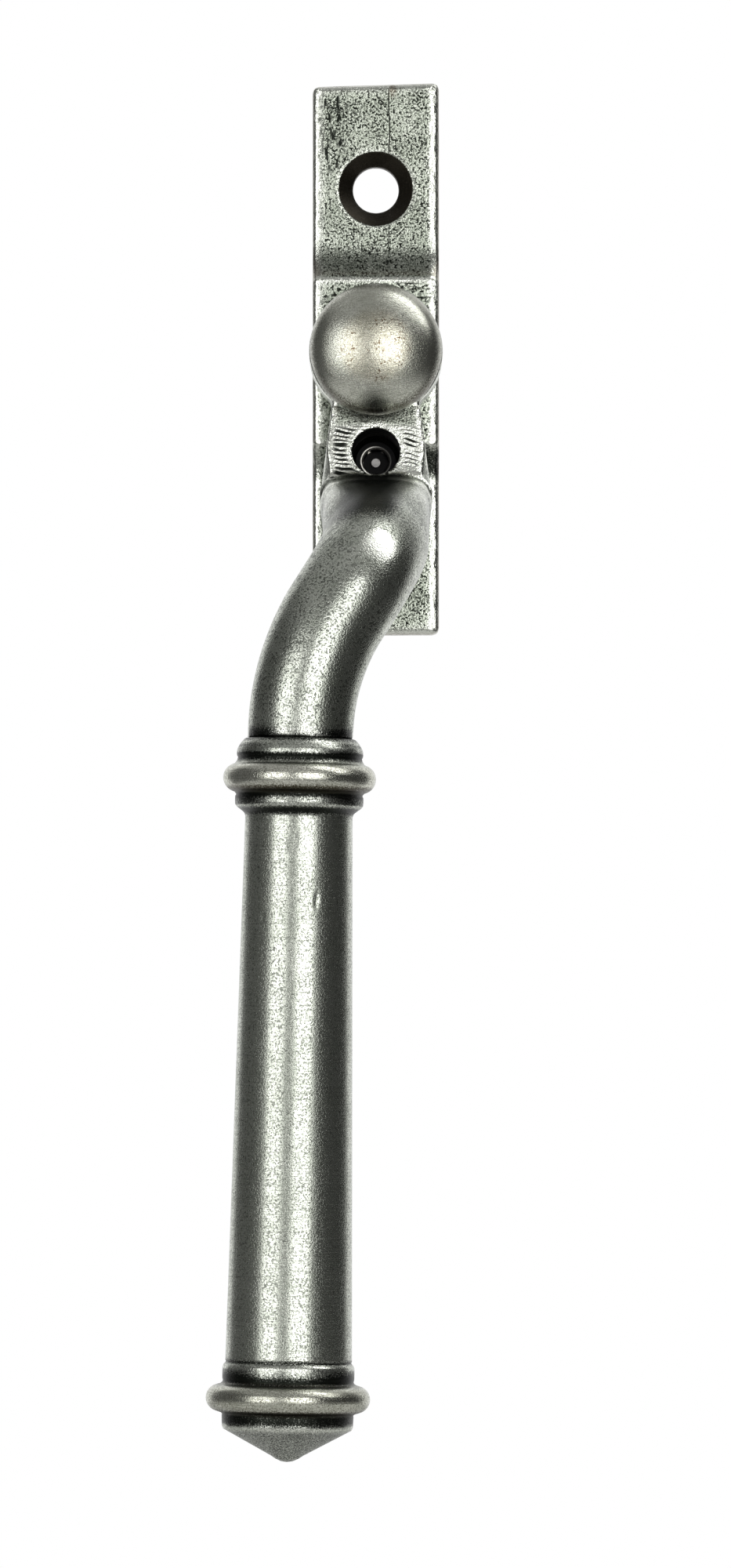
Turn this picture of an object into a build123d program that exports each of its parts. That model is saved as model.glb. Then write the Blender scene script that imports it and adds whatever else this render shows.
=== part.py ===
from build123d import *
import math
import os

# Espagnolette window handle: a cranked steel lever with a turned grip on a narrow fixing plate.
# Millimetres. +Z is up, -Y points out of the window frame towards the hand, and the origin is on
# the spindle axis at the plate's back face. "Depth" is the distance in front of that back face.

# Fixing plate
plate_width = 16.0
plate_height = 70.0
plate_thickness = 3.5
plate_corner_radius = 0.8
plate_bevel = 0.8
boss_length = 21.0
boss_rise = 1.8
cove_length = 4.5
screw_pitch = 43.0
screw_hole_diameter = 5.8
countersink_diameter = 9.4
countersink_angle = 90.0

# Bearing and index parts in the plate
recess_diameter = 13.6
recess_depth = 3.0
bush_wall = 0.75
press_gap = 0.01
running_gap = 0.05
spring_strip = 0.35
spring_rise = 0.5
spring_outer_diameter = 13.2
spring_inner_diameter = 10.5
key_width = 2.0
key_reach = 7.5
key_gap = 0.15
index_diameter = 13.2
index_thickness = 1.2
index_notch_radius = 0.6
index_notch_depth = 0.3
stop_lug_width = 2.4
stop_lug_reach = 7.7
stop_gap = 0.1
turn_range = 90.0
ring_thickness = 0.7
ring_inner_diameter = 9.1
ring_outer_diameter = 11.6
ring_mouth_angle = 70.0
nylon_thickness = 0.5
nylon_outer_diameter = 15.0
nylon_bore_gap = 0.15

# Spindle
square_side = 7.0
square_gap = 0.05
square_edge = 0.3
journal_diameter = 10.0
tail_length = 40.0
tail_end_diameter = 7.4
stud_diameter = 5.0
stud_length = 5.4

# Lever head: the eye on the spindle and the flat that carries the lock
eye_diameter = 16.8
eye_thickness = 9.2
eye_edge_round = 0.5
washer_outer_diameter = 12.0
washer_inner_diameter = 5.4
washer_thickness = 1.2
washer_gap = 0.2
washer_split = 1.0
waist_width = 10.9
waist_below_axis = 6.4
root_below_axis = 18.0
flat_tilt = 10.0

# Domed cap over the spindle
cap_diameter = 16.5
cap_dome_height = 5.8
cap_shoulder_round = 3.6
cap_skirt_height = 1.55
cap_foot_diameter = 12.6
cap_gap = 0.05

# Crank: a round bar, bent out and to the side
bar_root_diameter = 13.9
bar_end_diameter = 12.95
bar_top_inside_eye = 3.0
first_bend_below_axis = 22.2
first_bend_radius = 9.0
elbow_depth = 34.0
elbow_below_axis = 26.2
elbow_radius = 11.0
offset_depth = 38.0
offset_side = 9.12
offset_below_axis = 40.7
offset_radius = 28.0
grip_lean = 1.07
collar_below_axis = 49.5
spigot_diameter = 8.0
spigot_length = 24.0
spigot_gap = 0.05

# Grip: turned from bar. Each length runs down its axis from where the one before it ends
collar_top_radius = 6.75
collar_shoulder_length = 1.4
collar_ring_radius = 7.73
collar_ring_length = 0.9
collar_bead_below_ring = 2.55
collar_bead_reach = 9.37
collar_bead_round = 1.75
collar_bead_angle = 70.0
collar_foot_below_bead = 2.15
collar_foot_radius = 7.85
collar_foot_length = 1.35
collar_foot_bevel = 0.9
collar_foot_bevel_length = 0.6
collar_quirk_length = 0.55
grip_length = 66.5
grip_start_radius = 6.57
grip_end_radius = 7.75
pommel_shoulder_length = 0.7
pommel_ring_radius = 8.07
pommel_ring_length = 1.8
pommel_bead_below_ring = 2.1
pommel_bead_reach = 10.05
pommel_bead_round = 1.65
pommel_bead_angle = 78.0
pommel_foot_below_bead = 2.0
pommel_foot_radius = 8.05
pommel_foot_length = 1.7
pommel_cone_radius = 7.9
pommel_cone_length = 4.05
pommel_tip_round = 2.0
shoulder_bow = 0.12
cove_bow = 0.12
spigot_bore_relief = 0.6

# Cross pin that holds the grip on its spigot
pin_diameter = 3.0
pin_below_collar = 15.0
pin_gap = 0.02
pin_sink = 0.15
pin_past_axis = 2.6

# Lock in the flat of the lever, distances measured in from its mouth
lock_below_axis = 12.7
lock_depth = 16.0
lock_mouth_diameter = 6.1
lock_mouth_depth = 5.0
lock_thread_diameter = 5.0
lock_thread_gap = 0.05
lock_rim_distance = 5.2
lock_screw_length = 2.4
lock_socket_flats = 3.0
lock_socket_depth = 1.4
lock_socket_bevel = 0.3
lock_pin_diameter = 2.6
lock_pin_gap = 0.2
lock_pin_bevel = 0.3
lock_stem_diameter = 0.8
lock_stem_head_diameter = 1.1
lock_stem_head_height = 0.5
lock_nose_clear = 0.1
lock_travel = 3.6
lock_seat_spare = 0.5

# Places that follow from the sizes above
boss_depth = plate_thickness + boss_rise
eye_back_depth = boss_depth + nylon_thickness + 2 * running_gap
eye_front_depth = eye_back_depth + eye_thickness
washer_seat_depth = eye_front_depth - washer_thickness
cap_foot_depth = eye_front_depth + cap_gap
bar_axis_depth = eye_back_depth + bar_root_diameter / 2
index_front_depth = recess_depth - spring_rise - spring_strip - running_gap
index_back_depth = index_front_depth - index_thickness
bush_outer_diameter = journal_diameter + 2 * running_gap + 2 * bush_wall
cut_over = 1.0

# Places down the grip's axis that follow from its lengths
collar_ring_end = collar_shoulder_length + collar_ring_length
collar_bead_centre = collar_ring_end + collar_bead_below_ring
collar_foot_start = collar_bead_centre + collar_foot_below_bead
collar_foot_end = collar_foot_start + collar_foot_length
collar_lip = collar_foot_end + collar_foot_bevel_length
grip_start = collar_lip + collar_quirk_length
grip_end = grip_start + grip_length
pommel_ring_start = grip_end + pommel_shoulder_length
pommel_ring_end = pommel_ring_start + pommel_ring_length
pommel_bead_centre = pommel_ring_end + pommel_bead_below_ring
pommel_foot_start = pommel_bead_centre + pommel_foot_below_bead
pommel_cone_start = pommel_foot_start + pommel_foot_length
pommel_tip = pommel_cone_start + pommel_cone_length


def point(side, depth, height):
    """A point from its place to the side, its depth in front of the back face and its height."""
    return Vector(side, -depth, height)


def disc(diameter, back, front, height=0.0):
    """A round disc along the spindle's direction between two depths."""
    face = Plane.XZ.offset(back) * Pos(0, height) * Circle(diameter / 2)
    return extrude(face, front - back)


def square_bar(side, edge, back, front):
    """A square bar on the spindle axis between two depths, its long edges bevelled."""
    bar = extrude(Plane.XZ.offset(back) * Rectangle(side, side), front - back)
    return chamfer(bar.edges().filter_by(Axis.Y), edge)


def sector(radius, half_angle, back, front):
    """A wedge about the spindle axis, centred on +Z, from the axis out to a radius."""
    left = Vector(-radius * math.sin(half_angle), radius * math.cos(half_angle))
    right = Vector(-left.X, left.Y)
    edges = [
        Line((0, 0), left),
        ThreePointArc(left, (0, radius), right),
        Line(right, (0, 0)),
    ]
    return extrude(Plane.XZ.offset(back) * make_face(edges), front - back)


def rod(diameter, start, end):
    """A plain round rod between two points."""
    plane = Plane(origin=start, z_dir=end - start)
    return extrude(plane * Circle(diameter / 2), (end - start).length)


# The lock's line: out of the mouth, square to the flat
lock_mouth = point(0, lock_depth, -lock_below_axis)
lock_out = Vector(0, -math.cos(math.radians(flat_tilt)), math.sin(math.radians(flat_tilt)))


def on_lock(distance):
    """A point on the lock's line, this far in from the mouth."""
    return lock_mouth - lock_out * distance


def lock_distance(depth):
    """How far in from the mouth the lock's line reaches a depth."""
    return (lock_depth - depth) / math.cos(math.radians(flat_tilt))


lock_nose = lock_distance(eye_back_depth) - lock_nose_clear
lock_seat_end = lock_nose + lock_travel + lock_seat_spare

# The bar's line and the grip's axis
grip_down = Vector(-math.sin(math.radians(grip_lean)), 0, -math.cos(math.radians(grip_lean)))
offset_corner = point(-offset_side, offset_depth, -offset_below_axis)
collar_run = (collar_below_axis - offset_below_axis) / math.cos(math.radians(grip_lean))
collar_top = offset_corner + grip_down * collar_run
first_corner = point(0, bar_axis_depth, -first_bend_below_axis)
elbow_corner = point(0, elbow_depth, -elbow_below_axis)


def on_grip(distance):
    """A point on the grip's axis, this far below the top of the collar."""
    return collar_top + grip_down * distance


# Fixing plate
def fixing_plate():
    half = plate_height / 2
    boss = boss_length / 2
    cove = boss + cove_length
    low_cove = TangentArc((-plate_thickness, -cove), (-boss_depth, -boss), tangent=(0, 1))
    high_cove = TangentArc((-plate_thickness, cove), (-boss_depth, boss), tangent=(0, -1))
    outline = [
        Line((0, half), (0, -half)),
        Line((0, -half), (-plate_thickness, -half)),
        Line((-plate_thickness, -half), (-plate_thickness, -cove)),
        low_cove,
        Line((-boss_depth, -boss), (-boss_depth, boss)),
        high_cove,
        Line((-plate_thickness, cove), (-plate_thickness, half)),
        Line((-plate_thickness, half), (0, half)),
    ]
    plate = extrude(Plane.YZ * make_face(outline), plate_width / 2, both=True)
    corners = plate.edges().filter_by(Axis.Y)
    plate = fillet(corners, plate_corner_radius)
    plate = bevel_front(plate)
    for height in (screw_pitch / 2, -screw_pitch / 2):
        plate -= disc(screw_hole_diameter, -cut_over, plate_thickness + cut_over, height)
        plate -= countersink(height)
    plate -= disc(bush_outer_diameter + 2 * press_gap, 0, boss_depth + cut_over)
    plate -= disc(recess_diameter, -cut_over, recess_depth)
    plate -= stop_pocket()
    plate -= key_slot()
    return plate - rod(lock_pin_diameter + 2 * lock_pin_gap, on_lock(0), on_lock(lock_seat_end))


def bevel_front(plate):
    """Bevels the plate's front outline, ramps and all, and leaves the edges across the plate."""
    back = plate.faces().sort_by(Axis.Y)[-1]
    upright = plate.edges().filter_by(Axis.Y)
    across = [
        e
        for e in plate.edges().filter_by(Axis.X)
        if abs(e.center().Z) < plate_height / 2 - plate_corner_radius
    ]
    kept = list(back.edges()) + list(upright) + across
    front = [e for e in plate.edges() if not any(e.is_same(k) for k in kept)]
    return chamfer(front, plate_bevel)


def countersink(height):
    """The cone that a countersunk screw head fills, run on past the plate's front."""
    slope = math.tan(math.radians(countersink_angle / 2))
    small = screw_hole_diameter / 2
    large = countersink_diameter / 2 + cut_over * slope
    depth = plate_thickness - (countersink_diameter / 2 - small) / slope
    profile = Polyline(
        (0, depth),
        (small, depth),
        (large, plate_thickness + cut_over),
        (0, plate_thickness + cut_over),
        (0, depth),
    )
    face = Plane(origin=(0, 0, height), x_dir=(1, 0, 0), z_dir=(0, 0, -1)) * make_face(profile)
    return revolve(face, Axis((0, 0, height), (0, 1, 0)))


def stop_pocket():
    """The space in the recess wall that lets the stop lug swing between its two ends."""
    reach = stop_lug_reach + key_gap
    pocket = sector(reach, math.radians(turn_range / 2), -cut_over, recess_depth)
    lug_space = Rectangle(stop_lug_width + 2 * stop_gap, reach)
    for turn in (-turn_range / 2, turn_range / 2):
        end = Plane.XZ.offset(-cut_over) * Rot(0, 0, turn) * Pos(0, reach / 2)
        pocket += extrude(end * lug_space, recess_depth + cut_over)
    return pocket & disc(2 * reach, -cut_over, recess_depth)


def key_slot():
    """The slot below the recess that keeps the index spring from turning."""
    reach = key_reach + key_gap
    slot = Plane.XZ * Pos(0, -reach / 2) * Rectangle(key_width + 2 * key_gap, reach)
    return extrude(slot, recess_depth) + extrude(slot, -cut_over)


# Bearing bush, pressed into the plate
def pivot_bush():
    ring = disc(bush_outer_diameter, recess_depth, boss_depth)
    return ring - disc(journal_diameter + 2 * running_gap, 0, boss_depth + cut_over)


# Index spring: a curved washer whose crest line runs up and down
def index_spring():
    radius = spring_outer_diameter / 2
    bend = (radius**2 + spring_rise**2) / (2 * spring_rise)
    crest_front = -recess_depth + spring_rise
    centre = crest_front - bend
    sheet = extrude(Plane.XY * Pos(0, centre) * Circle(bend + spring_strip), key_reach, both=True)
    sheet -= extrude(Plane.XY * Pos(0, centre) * Circle(bend), key_reach, both=True)
    blank = disc(spring_outer_diameter, 0, recess_depth)
    key = Plane.XZ * Pos(0, -key_reach / 2) * Rectangle(key_width, key_reach)
    blank += extrude(key, recess_depth)
    blank -= disc(spring_inner_diameter, -cut_over, recess_depth + cut_over)
    return sheet & blank


# Index disc: turns with the square, stops against the pocket's ends
def index_disc():
    body = disc(index_diameter, index_back_depth, index_front_depth)
    lug = Plane.XZ.offset(index_back_depth)
    lug *= Rot(0, 0, turn_range / 2) * Pos(0, stop_lug_reach / 2)
    body += extrude(lug * Rectangle(stop_lug_width, stop_lug_reach), index_thickness)
    body &= disc(2 * stop_lug_reach, index_back_depth, index_front_depth)
    hole = square_side + 2 * square_gap
    hole_back = index_back_depth - cut_over
    hole_front = index_front_depth + cut_over
    body -= square_bar(hole, square_edge, hole_back, hole_front)
    notch_depth = index_front_depth + index_notch_radius - index_notch_depth
    for end in (point(index_diameter, notch_depth, 0), point(0, notch_depth, index_diameter)):
        other = point(-end.X, notch_depth, -end.Z)
        body -= rod(2 * index_notch_radius, other, end)
    return body


# Retaining ring, sprung into the corners of the square
def ring_front_depth():
    return index_back_depth - running_gap


def retaining_ring():
    front = ring_front_depth()
    back = front - ring_thickness
    ring = disc(ring_outer_diameter, back, front)
    ring -= disc(ring_inner_diameter, back - cut_over, front + cut_over)
    mouth = sector(ring_outer_diameter, math.radians(ring_mouth_angle / 2), back, front)
    return ring - mouth


# Nylon washer between plate and lever
def nylon_washer():
    back = boss_depth + running_gap
    ring = disc(nylon_outer_diameter, back, back + nylon_thickness)
    hole = journal_diameter + 2 * nylon_bore_gap
    return ring - disc(hole, back - cut_over, back + nylon_thickness + cut_over)


# Spindle: square seat in the eye, round journal in the plate, square tail behind
def spindle():
    seat_end = washer_seat_depth - running_gap
    seat = square_bar(square_side, square_edge, eye_back_depth, seat_end)
    stud = disc(stud_diameter, seat_end, seat_end + stud_length)
    journal = disc(journal_diameter, index_front_depth, eye_back_depth)
    tail = square_bar(square_side, square_edge, -tail_length, index_front_depth)
    tail &= tail_point()
    groove_front = ring_front_depth() + running_gap / 2
    groove_back = ring_front_depth() - ring_thickness - running_gap / 2
    groove = disc(2 * square_side, groove_back, groove_front)
    groove -= disc(ring_inner_diameter - 2 * running_gap, groove_back, groove_front)
    tail -= groove
    return seat + stud + journal + tail


def tail_point():
    """The cone that the tail's end is turned to, opening at 45 degrees from the end face."""
    length = tail_length + index_front_depth
    end = Plane(origin=point(0, -tail_length, 0), z_dir=Vector(0, -1, 0))
    base = (Align.CENTER, Align.CENTER, Align.MIN)
    small = tail_end_diameter / 2
    return end * Cone(small, small + length, length, align=base)


# Cap washer: a split spring washer under the domed cap
def cap_washer():
    ring = disc(washer_outer_diameter, washer_seat_depth, eye_front_depth)
    ring -= disc(washer_inner_diameter, 0, eye_front_depth + cut_over)
    gap = Plane.XZ.offset(washer_seat_depth)
    gap *= Pos(0, washer_outer_diameter / 2)
    split = extrude(gap * Rectangle(washer_split, washer_outer_diameter), washer_thickness)
    return ring - split


# Domed cap, screwed onto the spindle's stud
def domed_cap():
    foot = cap_foot_diameter / 2
    rim = cap_diameter / 2
    rim_depth = cap_foot_depth + cap_skirt_height
    skirt_run = rim - foot
    lean = math.sqrt(0.5)
    skirt_middle = (foot + skirt_run * lean, rim_depth - cap_skirt_height * lean)
    profile = [
        Line((0, rim_depth + cap_dome_height), (0, cap_foot_depth)),
        Line((0, cap_foot_depth), (foot, cap_foot_depth)),
        ThreePointArc((foot, cap_foot_depth), skirt_middle, (rim, rim_depth)),
        *dome_arcs(rim, rim_depth),
    ]
    face = Plane(origin=(0, 0, 0), x_dir=(1, 0, 0), z_dir=(0, 0, -1)) * make_face(profile)
    cap = revolve(face, Axis.Y)
    stud_end = washer_seat_depth - running_gap + stud_length
    hole = stud_diameter + 2 * running_gap
    return cap - disc(hole, 0, stud_end + running_gap)


def dome_arcs(rim, rim_depth):
    """The dome's outline from rim to top: a tight shoulder that runs into a flatter crown."""
    inset = rim - cap_shoulder_round
    rise = cap_dome_height
    crown = (rise**2 + inset**2 - cap_shoulder_round**2) / (2 * (rise - cap_shoulder_round))
    centre_depth = rim_depth + rise - crown
    turn = math.atan2(inset, rim_depth - centre_depth)

    def on_shoulder(angle):
        across = inset + cap_shoulder_round * math.sin(angle)
        return (across, rim_depth + cap_shoulder_round * math.cos(angle))

    def on_crown(angle):
        return (crown * math.sin(angle), centre_depth + crown * math.cos(angle))

    quarter = math.pi / 2
    middle = on_shoulder((quarter + turn) / 2)
    shoulder = ThreePointArc(on_shoulder(quarter), middle, on_shoulder(turn))
    return [shoulder, ThreePointArc(on_crown(turn), on_crown(turn / 2), on_crown(0))]


# Crank arm: eye, flat, bent bar and the spigot for the grip, in one forging
def crank_arm():
    bar = bent_bar()
    bar -= flat_cutter()
    for side in (-1, 1):
        bar -= waist_cutter(side)
    arm = bar + eye_blank()
    arm -= disc(washer_outer_diameter + 2 * washer_gap, washer_seat_depth, lock_depth + eye_thickness)
    hole = square_side + 2 * square_gap
    arm -= square_bar(hole, square_edge, 0, eye_front_depth)
    arm -= rod(lock_mouth_diameter, on_lock(-cut_over), on_lock(lock_mouth_depth))
    thread = lock_thread_diameter + 2 * lock_thread_gap
    arm -= rod(thread, on_lock(0), on_lock(lock_seat_end))
    arm += rod(spigot_diameter, on_grip(-cut_over), on_grip(spigot_length))
    return arm - pin_hole()


def bent_bar():
    """The round bar along its bends, a little thinner at the collar than at the eye."""
    top = point(0, bar_axis_depth, -bar_top_inside_eye)
    bends = [first_bend_radius, elbow_radius, offset_radius]
    line = FilletPolyline(top, first_corner, elbow_corner, offset_corner, collar_top, radius=bends)
    start = Plane(origin=top, z_dir=Vector(0, 0, -1)) * Circle(bar_root_diameter / 2)
    end = Plane(origin=collar_top, z_dir=grip_down) * Circle(bar_end_diameter / 2)
    return sweep([start, end], path=line, multisection=True)


def flat_cutter():
    """What the flat takes off the bar: all in front of it, up to the part that bends outwards."""
    reach = 2 * root_below_axis
    width = 2 * bar_root_diameter
    plane = Plane(origin=lock_mouth, x_dir=(1, 0, 0), z_dir=lock_out)
    block = extrude(plane * Rectangle(width, reach), bar_root_diameter / 2)
    outward = (elbow_corner - first_corner).normalized()
    core = rod(bar_root_diameter, first_corner - outward * reach, first_corner + outward * reach)
    return block - core


def waist_cutter(side):
    """What is cut from one side of the bar, where it narrows towards the eye."""
    waist = waist_width / 2
    root = bar_root_diameter / 2
    far = 2 * root
    outline = Polyline(
        (side * waist, 0),
        (side * waist, -waist_below_axis),
        (side * root, -root_below_axis),
        (side * far, -root_below_axis),
        (side * far, 0),
        (side * waist, 0),
    )
    return extrude(Plane.XZ * make_face(outline), elbow_depth)


def eye_blank():
    eye = disc(eye_diameter, eye_back_depth, eye_front_depth)
    rims = eye.edges().filter_by(GeomType.CIRCLE)
    return fillet(rims, eye_edge_round)


# Grip, turned in one piece with its collar and pommel
def grip():
    out = Vector(0, -1, 0)
    outline = Plane(origin=collar_top, x_dir=out, z_dir=out.cross(grip_down))
    body = revolve(outline * make_face(grip_outline()), Axis(collar_top, grip_down))
    bore_end = on_grip(spigot_length + spigot_bore_relief)
    body -= rod(spigot_diameter + 2 * spigot_gap, on_grip(-cut_over), bore_end)
    return body - pin_hole()


def bowed(start, end, bow):
    """An arc down the outline that bows outwards as a round, or inwards as a cove."""
    first = Vector(*start)
    last = Vector(*end)
    along = (last - first).normalized()
    outward = Vector(along.Y, -along.X)
    return ThreePointArc(first, (first + last) / 2 + outward * bow, last)


def on_bead(centre, reach, bead_round, angle):
    """A point on a bead's outline, this angle below its widest place."""
    turn = math.radians(angle)
    radius = reach - bead_round + bead_round * math.cos(turn)
    return (radius, centre + bead_round * math.sin(turn))


def grip_outline():
    """The turned outline, as radius and distance down the grip's axis."""
    collar_bead = (collar_bead_centre, collar_bead_reach, collar_bead_round)
    collar_bead_top = on_bead(*collar_bead, -collar_bead_angle)
    collar_bead_bottom = on_bead(*collar_bead, collar_bead_angle)
    pommel_bead = (pommel_bead_centre, pommel_bead_reach, pommel_bead_round)
    pommel_bead_top = on_bead(*pommel_bead, -pommel_bead_angle)
    pommel_bead_bottom = on_bead(*pommel_bead, pommel_bead_angle)
    foot_lip = (collar_foot_radius - collar_foot_bevel, collar_lip)
    return [
        Line((0, 0), (collar_top_radius, 0)),
        bowed((collar_top_radius, 0), (collar_ring_radius, collar_shoulder_length), shoulder_bow),
        Line((collar_ring_radius, collar_shoulder_length), (collar_ring_radius, collar_ring_end)),
        bowed((collar_ring_radius, collar_ring_end), collar_bead_top, -cove_bow),
        ThreePointArc(collar_bead_top, on_bead(*collar_bead, 0), collar_bead_bottom),
        bowed(collar_bead_bottom, (collar_foot_radius, collar_foot_start), -cove_bow / 2),
        Line((collar_foot_radius, collar_foot_start), (collar_foot_radius, collar_foot_end)),
        Line((collar_foot_radius, collar_foot_end), foot_lip),
        bowed(foot_lip, (grip_start_radius, grip_start), -cove_bow),
        Line((grip_start_radius, grip_start), (grip_end_radius, grip_end)),
        bowed((grip_end_radius, grip_end), (pommel_ring_radius, pommel_ring_start), shoulder_bow / 2),
        Line((pommel_ring_radius, pommel_ring_start), (pommel_ring_radius, pommel_ring_end)),
        bowed((pommel_ring_radius, pommel_ring_end), pommel_bead_top, -cove_bow),
        ThreePointArc(pommel_bead_top, on_bead(*pommel_bead, 0), pommel_bead_bottom),
        bowed(pommel_bead_bottom, (pommel_foot_radius, pommel_foot_start), -cove_bow / 2),
        Line((pommel_foot_radius, pommel_foot_start), (pommel_cone_radius, pommel_cone_start)),
        *pommel_point(),
        Line((0, pommel_tip), (0, 0)),
    ]


def pommel_point():
    """The cone below the pommel's foot and the round that ends it, tangent to the cone."""
    centre = pommel_tip - pommel_tip_round
    drop = pommel_cone_start - centre
    away = math.hypot(pommel_cone_radius, drop)
    turn = math.atan2(pommel_cone_radius, drop) - math.acos(pommel_tip_round / away)

    def on_tip(angle):
        return (pommel_tip_round * math.sin(angle), centre + pommel_tip_round * math.cos(angle))

    cone = Line((pommel_cone_radius, pommel_cone_start), on_tip(turn))
    return [cone, ThreePointArc(on_tip(turn), on_tip(turn / 2), on_tip(0))]


# Cross pin, driven in from behind through the grip and into the spigot
def grip_radius(distance):
    """The grip's radius this far below the top of the collar, between collar and pommel."""
    share = (distance - grip_start) / (grip_end - grip_start)
    return grip_start_radius + share * (grip_end_radius - grip_start_radius)


def pin_ends(past_back):
    """Where the cross pin starts behind the grip and where it ends past the axis."""
    centre = on_grip(pin_below_collar)
    back = Vector(0, 1, 0)
    start = centre + back * (grip_radius(pin_below_collar) + past_back)
    return start, centre - back * pin_past_axis


def pin_hole():
    start, end = pin_ends(cut_over)
    return rod(pin_diameter + 2 * pin_gap, start, end - Vector(0, pin_gap, 0))


def grip_pin():
    return rod(pin_diameter, *pin_ends(-pin_sink))


# Lock screw, turned by a key in its hexagon socket
def lock_plane(distance):
    """A plane square to the lock's line, facing inwards."""
    return Plane(origin=on_lock(distance), x_dir=(1, 0, 0), z_dir=-lock_out)


lock_screw_end = lock_rim_distance + lock_screw_length
lock_socket_floor = lock_rim_distance + lock_socket_depth


def lock_screw():
    body = rod(lock_thread_diameter, on_lock(lock_rim_distance), on_lock(lock_screw_end))
    hexagon = RegularPolygon(lock_socket_flats / 2, 6, major_radius=False)
    body -= extrude(lock_plane(lock_rim_distance) * hexagon, lock_socket_depth)
    mouth = lock_socket_flats / 2 + lock_socket_bevel
    base = (Align.CENTER, Align.CENTER, Align.MIN)
    cone = Cone(mouth, mouth - 2 * lock_socket_bevel, 2 * lock_socket_bevel, align=base)
    body -= lock_plane(lock_rim_distance) * cone
    hole = lock_stem_diameter + 2 * lock_thread_gap
    return body - rod(hole, on_lock(lock_rim_distance), on_lock(lock_screw_end + cut_over))


# Locking pin: slides into the plate, and its riveted stem lets the screw turn on it
def locking_pin():
    shoulder = lock_screw_end + lock_thread_gap
    nose = rod(lock_pin_diameter, on_lock(shoulder), on_lock(lock_nose))
    nose = chamfer(nose.edges().sort_by(Axis.Y)[-1], lock_pin_bevel)
    head_foot = lock_socket_floor - lock_thread_gap
    head_top = head_foot - lock_stem_head_height
    stem = rod(lock_stem_diameter, on_lock(head_top), on_lock(lock_nose - lock_pin_bevel))
    head = rod(lock_stem_head_diameter, on_lock(head_top), on_lock(head_foot))
    return nose + stem + head


nodes = {
    "fixing_plate": fixing_plate,
    "pivot_bush": pivot_bush,
    "index_spring": index_spring,
    "nylon_washer": nylon_washer,
    "spindle": spindle,
    "index_disc": index_disc,
    "retaining_ring": retaining_ring,
    "crank_arm": crank_arm,
    "cap_washer": cap_washer,
    "domed_cap": domed_cap,
    "grip": grip,
    "grip_pin": grip_pin,
    "lock_screw": lock_screw,
    "locking_pin": locking_pin,
}

os.makedirs("parts", exist_ok=True)
for name, build in nodes.items():
    shape = build()
    export_step(shape, f"parts/{name}.step")
    print(name, round(shape.volume, 1), "mm3")
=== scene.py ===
import math
from functools import partialmethod

import bmesh
import bpy
import numpy as np
from bpy.props import FloatProperty, FloatVectorProperty, IntProperty, PointerProperty
from bpy.types import Operator, Panel, PropertyGroup
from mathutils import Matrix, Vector


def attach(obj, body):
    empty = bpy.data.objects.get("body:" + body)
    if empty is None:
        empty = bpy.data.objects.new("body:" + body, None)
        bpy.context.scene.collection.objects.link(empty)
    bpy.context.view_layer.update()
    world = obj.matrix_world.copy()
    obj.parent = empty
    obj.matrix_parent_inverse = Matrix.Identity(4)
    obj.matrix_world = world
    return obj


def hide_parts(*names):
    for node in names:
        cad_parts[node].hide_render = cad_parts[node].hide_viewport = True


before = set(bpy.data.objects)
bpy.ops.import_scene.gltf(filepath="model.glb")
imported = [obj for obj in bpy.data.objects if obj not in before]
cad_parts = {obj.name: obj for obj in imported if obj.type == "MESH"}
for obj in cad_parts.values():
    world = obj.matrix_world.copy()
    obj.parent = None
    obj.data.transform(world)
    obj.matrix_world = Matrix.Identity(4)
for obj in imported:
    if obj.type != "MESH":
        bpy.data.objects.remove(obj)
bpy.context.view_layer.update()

bl_info = {
    "name": "Espagnolette Window Handle",
    "version": (1, 0, 0),
    "blender": (4, 5, 0),
    "location": "3D View > Sidebar > Handle",
    "description": "Dresses the cranked window handle: plate, crank, cap, grip, lock and stage",
    "category": "Add Mesh",
}

MM = 0.001

# Sizes in millimetres, turns in degrees; a place is its side, its depth from the plate's back, its height
SCREW_HEIGHT = 21.5
COUNTERSINK_RADIUS = 4.7
PLATE_HALF_WIDTH = 8.0
PLATE_HALF_HEIGHT = 35.0
PLATE_DEPTH = 3.5
PLATE_BEVEL = 0.8
BOSS_DEPTH = 5.3
BOSS_HALF = 10.5
BOSS_DROP = 0.6
COVE_START = 15.0
BUSH_RADIUS = 5.8
PIN_SEAT_RADIUS = 1.5
SEAM_SIDE = 1.1
CAP_FOOT_DEPTH = 15.15
CAP_BORE_RADIUS = 2.55
CAP_BORE_DEPTH = 4.25
CAP_NECK_RADIUS = 6.3
CAP_HOLLOW = (1.87, 1.4)
CAP_RIM_DEPTH = 16.7
CAP_LAND = 0.6
CAP_RADIUS = 8.25
CAP_CROWN_ROUND = 11.9
CAP_CROWN_TURN = 33.0
FIRST_CORNER = (0.0, 12.85, -22.2)
ELBOW_CORNER = (0.0, 34.0, -26.2)
BAR_RADIUS = 6.95
# Where a highlight is painted on the elbow, under the top light's reflection
ELBOW_PAINTED_HIGHLIGHT = (0.4, 38.9, -25.8)
LOCK_MOUTH = (0.0, 16.0, -12.7)
LOCK_TILT = 10.0
LOCK_BORE_RADIUS = 3.05
LOCK_BORE_DEPTH = 5.0
THREAD_CRESTS = 6
THREAD_START = 0.6
COLLAR_TOP = (-9.284, 38.0, -49.5)
GRIP_LEAN = 1.07
CROSS_PIN_DOWN = 15.0
CROSS_PIN_RADIUS = 1.52
GRIP_FRONT = 6.8

# Where the beads and the plain rings of the grip are, down from the collar's top
COLLAR_BEAD = 4.85
POMMEL_BEAD = 80.6
RINGS = (1.4, 7.6, 77.6)
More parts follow.
